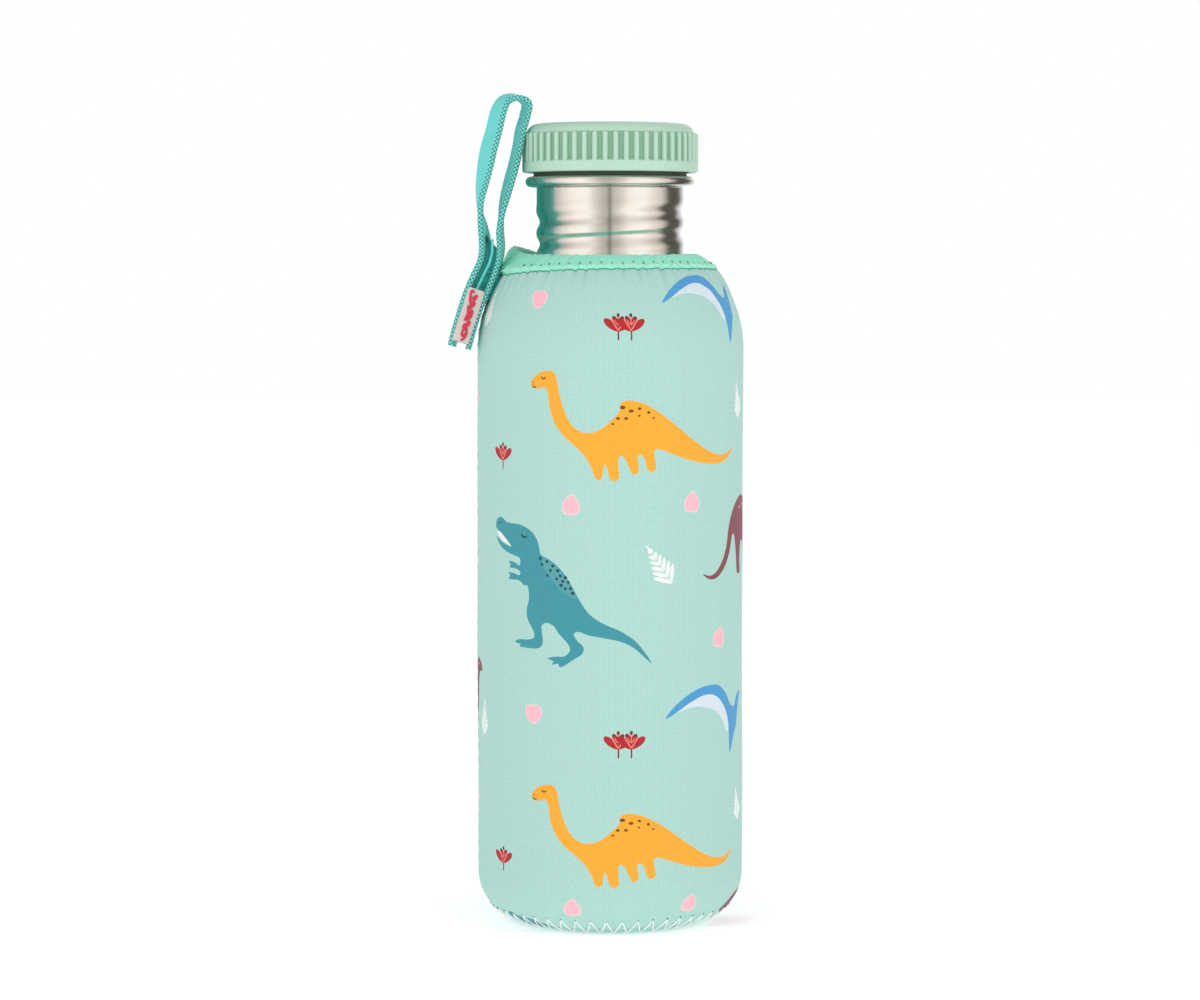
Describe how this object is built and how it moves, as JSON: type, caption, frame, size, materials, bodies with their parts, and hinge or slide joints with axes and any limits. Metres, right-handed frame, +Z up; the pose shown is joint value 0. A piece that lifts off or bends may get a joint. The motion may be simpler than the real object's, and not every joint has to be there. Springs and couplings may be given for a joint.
{
  "type": "kids water bottle",
  "caption": "Steel drinking bottle with a screw cap in a printed neoprene sleeve with an elastic mouth, zigzag base seam and tape carry loop.",
  "frame": {"origin": "centre of the sleeve's base, where it stands", "axes": "+Z up along the bottle's axis, -Y towards the front of the print, carry loop on the -X side"},
  "size_m": [0.0778, 0.0702, 0.2194],
  "materials": {
    "steel": "satin drawn stainless steel",
    "cap_plastic": "satin moulded polypropylene, sage green",
    "plug_plastic": "satin natural polypropylene",
    "seal_silicone": "matte silicone, dark olive",
    "printed_knit": "fine ribbed knit, mint, printed",
    "neoprene_foam": "closed-cell foam",
    "lining_knit": "plain knit",
    "elastic_tape": "ribbed fold-over elastic, bright mint",
    "white_thread": "polyester sewing thread",
    "loop_tape": "woven tape with a beaded edge, turquoise",
    "woven_label": "satin woven label"
  },
  "bodies": {
    "sleeve": {"sleeve_face": "printed_knit", "sleeve_foam": "neoprene_foam", "sleeve_lining": "lining_knit", "sleeve_base": "printed_knit", "mouth_binding": "elastic_tape", "base_seam_thread": "white_thread", "side_seam_thread": "white_thread", "binding_stitches": "elastic_tape", "loop_tails": "loop_tape", "loop_label": "woven_label", "loop_bartack": "loop_tape"},
    "loop": {"carry_loop": "loop_tape"},
    "bottle": {"bottle_body": "steel", "bottle_base": "steel"},
    "cap_seal": {"cap_gasket": "seal_silicone"},
    "cap": {"cap_shell": "cap_plastic", "cap_plug": "plug_plastic"}
  },
  "joints": [
    {"name": "bottle_lift", "type": "slide", "parent": "sleeve", "child": "bottle", "axis": [0, 0, 1], "range_m": [0, 0.22], "deforming": ["sleeve_face", "sleeve_foam", "sleeve_lining", "mouth_binding", "binding_stitches", "loop_bartack", "loop_tails"]},
    {"name": "cap_rise", "type": "slide", "parent": "bottle", "child": "cap_seal", "axis": [0, 0, 1], "range_m": [0, 0.0349]},
    {"name": "cap_turn", "type": "hinge", "parent": "cap_seal", "child": "cap", "pos_m": [0, 0, 0.205], "axis": [0, 0, 1], "range_deg": [0, 2160]},
    {"name": "loop_swing", "type": "hinge", "parent": "sleeve", "child": "loop", "pos_m": [-0.03112, -0.00549, 0.176], "axis": [0.1736, -0.9848, 0], "range_deg": [0, 100], "deforming": ["carry_loop"]}
  ],
  "couplings": [
    {"joint": "cap_rise", "follows": "cap_turn", "m_per_rad": 0.0009231}
  ]
}
